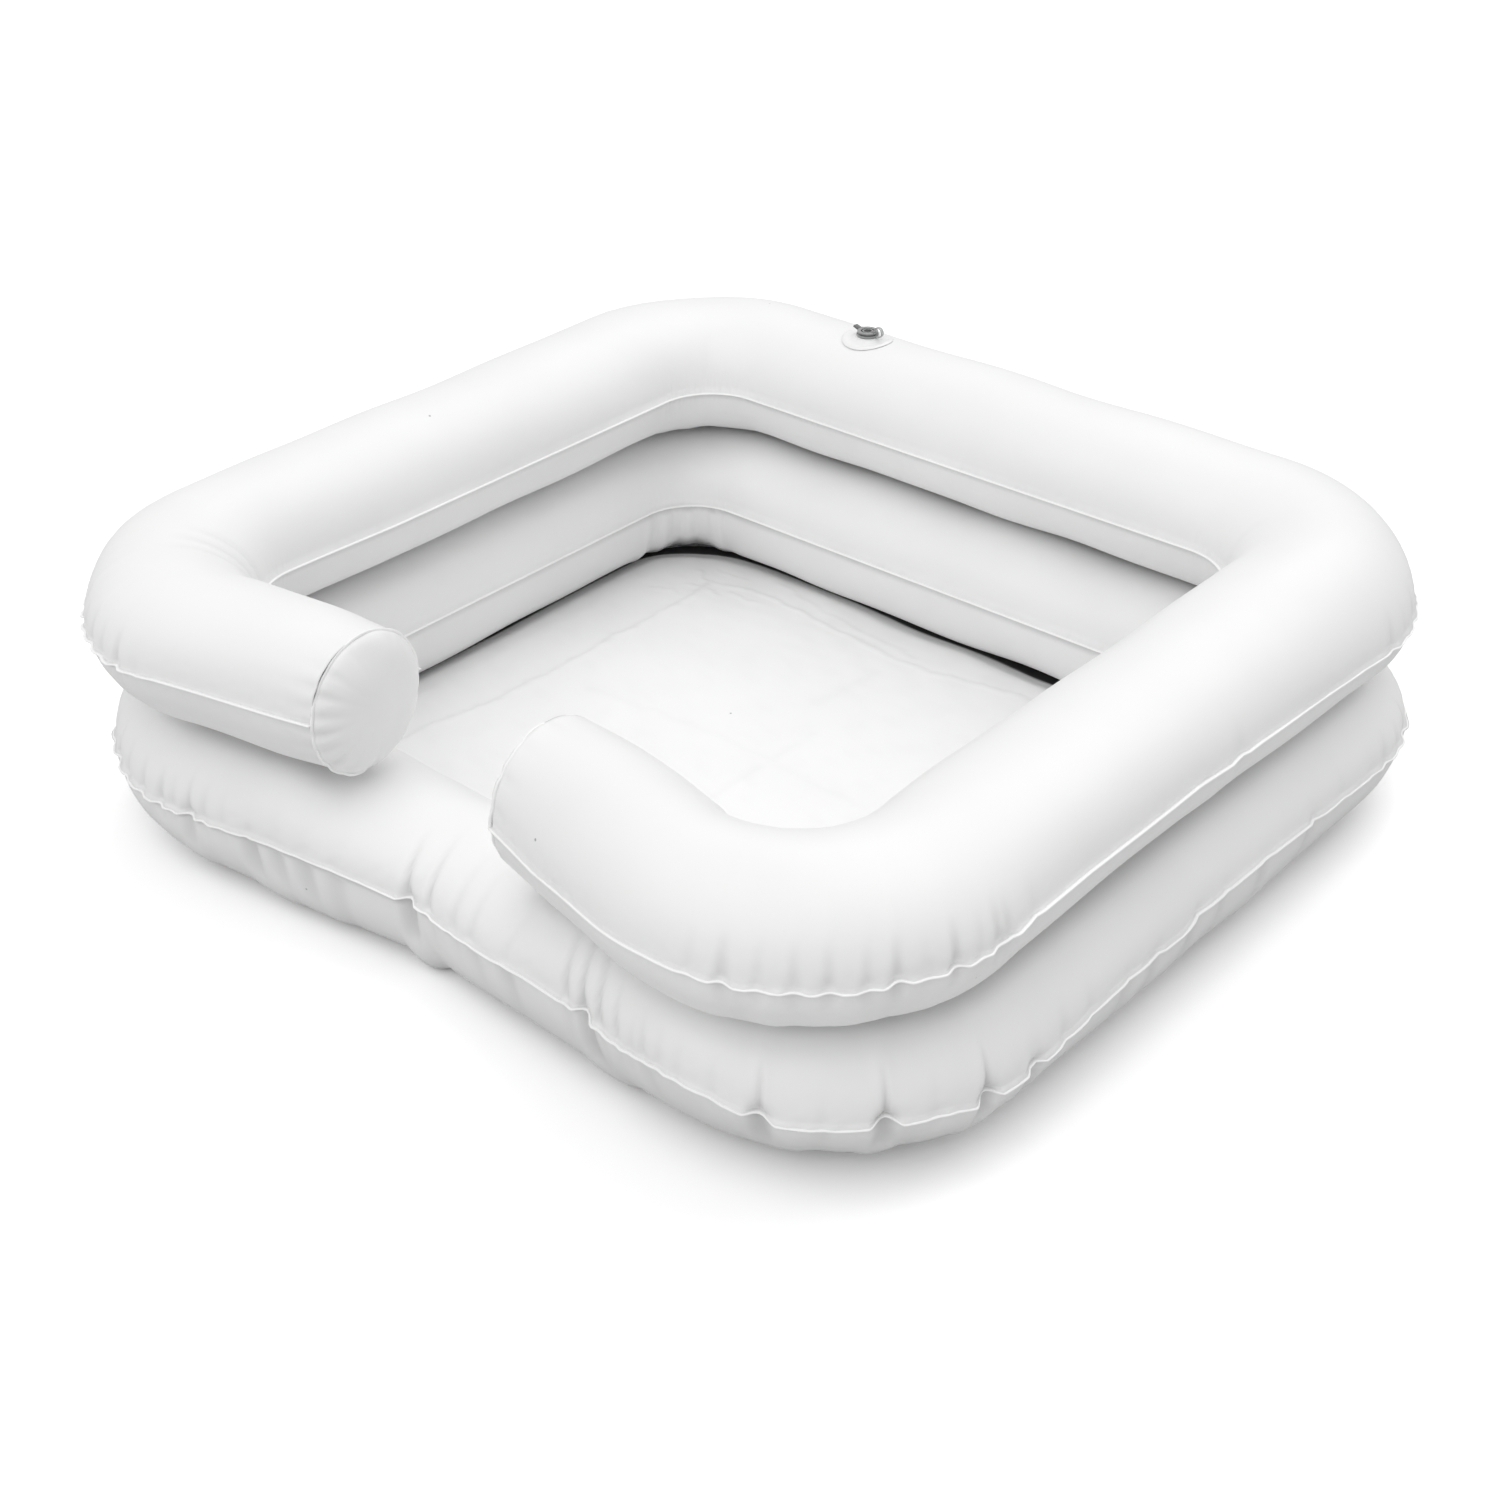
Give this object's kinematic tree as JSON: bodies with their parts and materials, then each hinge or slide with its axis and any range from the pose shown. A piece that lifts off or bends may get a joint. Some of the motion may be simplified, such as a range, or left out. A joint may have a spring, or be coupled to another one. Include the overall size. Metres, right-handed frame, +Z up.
{
  "type": "portable shampoo basin",
  "caption": "Inflatable hair-washing basin: stacked rings of welded sheet, a neck opening at the front, a flat floor with a drain, and air valves with plugs.",
  "frame": {"origin": "on the ground, under the middle of the overall width and depth", "axes": "+Z up, +Y to the back, away from the neck opening, +X to the right as seen from the front"},
  "size_m": [0.69, 0.656, 0.2021],
  "materials": {
    "white_film": "satin white vinyl film, slightly wrinkled",
    "white_moulding": "soft white vinyl moulding, satin",
    "clear_moulding": "soft translucent grey vinyl moulding, glossy"
  },
  "bodies": {
    "basin": {"upper_ring_top_sheet": "white_film", "upper_ring_bottom_sheet": "white_film", "left_end_panel": "white_film", "right_end_panel": "white_film", "lower_ring_top_sheet": "white_film", "lower_ring_bottom_sheet": "white_film", "floor_sheet": "white_film", "upper_valve_flange": "white_moulding", "lower_valve_flange": "white_moulding", "drain_flange": "white_moulding"},
    "upper_valve_stem": {"upper_valve_stem": "clear_moulding", "upper_valve_strap": "clear_moulding"},
    "upper_valve_plug": {"upper_valve_plug": "clear_moulding"},
    "upper_valve_flap": {"upper_valve_flap": "clear_moulding"},
    "lower_valve_stem": {"lower_valve_stem": "clear_moulding", "lower_valve_strap": "clear_moulding"},
    "lower_valve_plug": {"lower_valve_plug": "clear_moulding"},
    "lower_valve_flap": {"lower_valve_flap": "clear_moulding"},
    "drain_plug": {"drain_plug": "clear_moulding"}
  },
  "joints": [
    {"name": "upper_valve_pull_out", "type": "slide", "parent": "basin", "child": "upper_valve_stem", "axis": [0, 0, 1], "range_m": [0, 0.012]},
    {"name": "upper_valve_unplug", "type": "slide", "parent": "upper_valve_stem", "child": "upper_valve_plug", "axis": [0, 0, 1], "range_m": [0, 0.01], "deforming": ["upper_valve_strap"]},
    {"name": "upper_valve_flap_swing", "type": "hinge", "parent": "upper_valve_stem", "child": "upper_valve_flap", "pos_m": [-0.1265, 0.271, 0.17369], "axis": [0, 1, 0], "range_deg": [0, 60], "stiffness_Nm_per_rad": 0.0001, "springref_deg": -28.65},
    {"name": "lower_valve_pull_out", "type": "slide", "parent": "basin", "child": "lower_valve_stem", "axis": [0, 0.9405, -0.3399], "range_m": [0, 0.012]},
    {"name": "lower_valve_unplug", "type": "slide", "parent": "lower_valve_stem", "child": "lower_valve_plug", "axis": [0, 0.9405, -0.3399], "range_m": [0, 0.01], "deforming": ["lower_valve_strap"]},
    {"name": "lower_valve_flap_swing", "type": "hinge", "parent": "lower_valve_stem", "child": "lower_valve_flap", "pos_m": [-0.1265, 0.28733, 0.04289], "axis": [0, -0.3399, -0.9405], "range_deg": [0, 60], "stiffness_Nm_per_rad": 0.0001, "springref_deg": -28.65},
    {"name": "drain_unplug", "type": "slide", "parent": "basin", "child": "drain_plug", "axis": [0, 0, 1], "range_m": [0, 0.02]}
  ]
}
